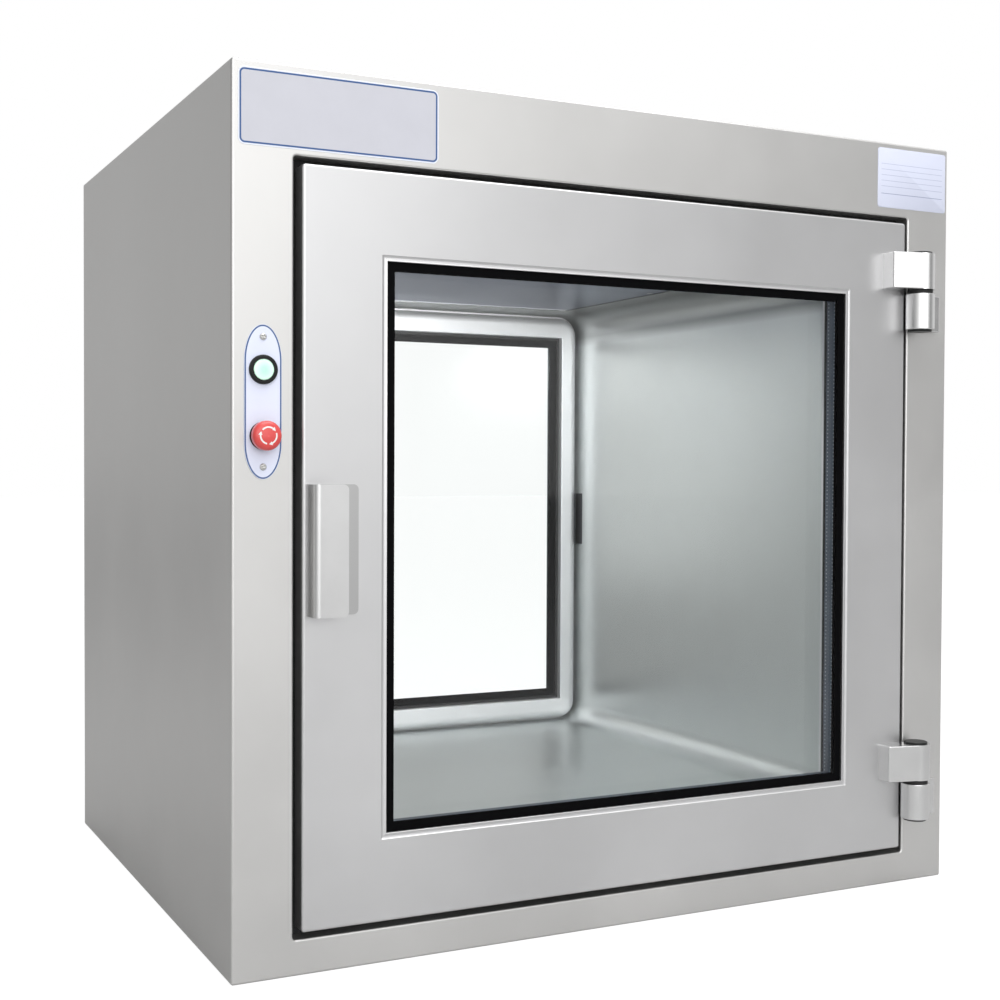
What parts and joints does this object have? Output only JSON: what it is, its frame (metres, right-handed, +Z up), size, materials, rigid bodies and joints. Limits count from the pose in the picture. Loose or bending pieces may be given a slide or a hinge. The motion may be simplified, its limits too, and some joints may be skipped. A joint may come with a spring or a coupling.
{
  "type": "cleanroom pass box",
  "caption": "Stainless pass box with a coved through chamber, framed glass doors on the front and rear, lift-off hinges, pull handles and push button panels.",
  "frame": {"origin": "on the resting plane, under the middle of the cabinet", "axes": "+Z up, -Y out of the front face, +X to the right as the front is seen"},
  "size_m": [0.836, 0.737, 0.848],
  "materials": {
    "cabinet_steel": "satin bead-blasted stainless sheet",
    "door_steel": "satin bead-blasted stainless sheet",
    "chamber_steel": "fine satin stainless sheet, wiped clean",
    "fitting_steel": "satin polished cast stainless",
    "screw_steel": "bright machined steel",
    "bracket_steel": "zinc plated sheet",
    "lock_iron": "dark passivated iron",
    "window_glass": "clear float glass with a black printed border",
    "spacer_aluminium": "dark anodised, finely perforated",
    "black_rubber": "matt black rubber",
    "black_plastic": "satin black moulded plastic",
    "grey_plastic": "light grey moulded plastic",
    "green_lens": "pale green lens over a lamp",
    "red_plastic": "red moulded plastic",
    "panel_plate": "printed plate with a blue border line"
  },
  "bodies": {
    "cabinet": {"left_side_panel": "cabinet_steel", "right_side_panel": "cabinet_steel", "top_panel": "cabinet_steel", "base_panel": "cabinet_steel", "chamber_liner": "chamber_steel", "ceiling_panel": "chamber_steel", "ceiling_panel_screws": "screw_steel", "chamber_support_rails": "bracket_steel", "din_rail": "bracket_steel", "power_supply": "grey_plastic", "interlock_controller": "grey_plastic", "terminal_block": "grey_plastic", "cable_gland": "grey_plastic", "panel_nuts": "grey_plastic", "hinge_pins": "screw_steel", "hinge_washers": "black_rubber", "hinge_lower_caps": "black_plastic", "control_plate_screws": "screw_steel", "contact_blocks": "black_plastic", "panel_stiffeners": "bracket_steel", "front_frame": "cabinet_steel", "front_lock_magnet": "lock_iron", "front_hinge_frame_leaves": "fitting_steel", "front_control_plate": "panel_plate", "front_button_body": "black_plastic", "front_estop_collar": "black_plastic", "rear_frame": "cabinet_steel", "rear_lock_magnet": "lock_iron", "rear_hinge_frame_leaves": "fitting_steel", "rear_control_plate": "panel_plate", "rear_button_body": "black_plastic", "rear_estop_collar": "black_plastic"},
    "front_door": {"front_door_skin": "door_steel", "front_door_pan": "door_steel", "front_outer_pane": "window_glass", "front_window_spacer": "spacer_aluminium", "front_inner_pane": "window_glass", "front_window_seal": "black_rubber", "front_door_gasket": "black_rubber", "front_door_handle": "fitting_steel", "front_door_armature": "lock_iron", "front_hinge_door_leaves": "fitting_steel", "front_hinge_caps": "black_plastic"},
    "front_button": {"front_button_lens": "green_lens"},
    "front_estop_stem": {"front_estop_plunger": "black_plastic"},
    "front_estop_knob": {"front_estop_head": "red_plastic"},
    "rear_door": {"rear_door_skin": "door_steel", "rear_door_pan": "door_steel", "rear_outer_pane": "window_glass", "rear_window_spacer": "spacer_aluminium", "rear_inner_pane": "window_glass", "rear_window_seal": "black_rubber", "rear_door_gasket": "black_rubber", "rear_door_handle": "fitting_steel", "rear_door_armature": "lock_iron", "rear_hinge_door_leaves": "fitting_steel", "rear_hinge_caps": "black_plastic"},
    "rear_button": {"rear_button_lens": "green_lens"},
    "rear_estop_stem": {"rear_estop_plunger": "black_plastic"},
    "rear_estop_knob": {"rear_estop_head": "red_plastic"}
  },
  "joints": [
    {"name": "front_door_hinge", "type": "hinge", "parent": "cabinet", "child": "front_door", "pos_m": [0.3645, -0.3525, 0.391], "axis": [0, 0, 1], "range_deg": [0, 170]},
    {"name": "front_button_push", "type": "slide", "parent": "cabinet", "child": "front_button", "axis": [0, 1, 0], "range_m": [0, 0.0025], "stiffness_N_per_m": 400, "springref_m": -0.004},
    {"name": "front_estop_push", "type": "slide", "parent": "cabinet", "child": "front_estop_stem", "axis": [0, 1, 0], "range_m": [0, 0.005], "stiffness_N_per_m": 600, "springref_m": -0.004},
    {"name": "front_estop_twist", "type": "hinge", "parent": "front_estop_stem", "child": "front_estop_knob", "pos_m": [-0.389, -0.35, 0.4945], "axis": [0, 1, 0], "range_deg": [0, 40], "stiffness_Nm_per_rad": 0.02, "springref_deg": -5.73},
    {"name": "rear_door_hinge", "type": "hinge", "parent": "cabinet", "child": "rear_door", "pos_m": [-0.3645, 0.3525, 0.391], "axis": [0, 0, 1], "range_deg": [0, 170]},
    {"name": "rear_button_push", "type": "slide", "parent": "cabinet", "child": "rear_button", "axis": [0, -1, 0], "range_m": [0, 0.0025], "stiffness_N_per_m": 400, "springref_m": -0.004},
    {"name": "rear_estop_push", "type": "slide", "parent": "cabinet", "child": "rear_estop_stem", "axis": [0, -1, 0], "range_m": [0, 0.005], "stiffness_N_per_m": 600, "springref_m": -0.004},
    {"name": "rear_estop_twist", "type": "hinge", "parent": "rear_estop_stem", "child": "rear_estop_knob", "pos_m": [0.389, 0.35, 0.4945], "axis": [0, -1, 0], "range_deg": [0, 40], "stiffness_Nm_per_rad": 0.02, "springref_deg": -5.73}
  ]
}
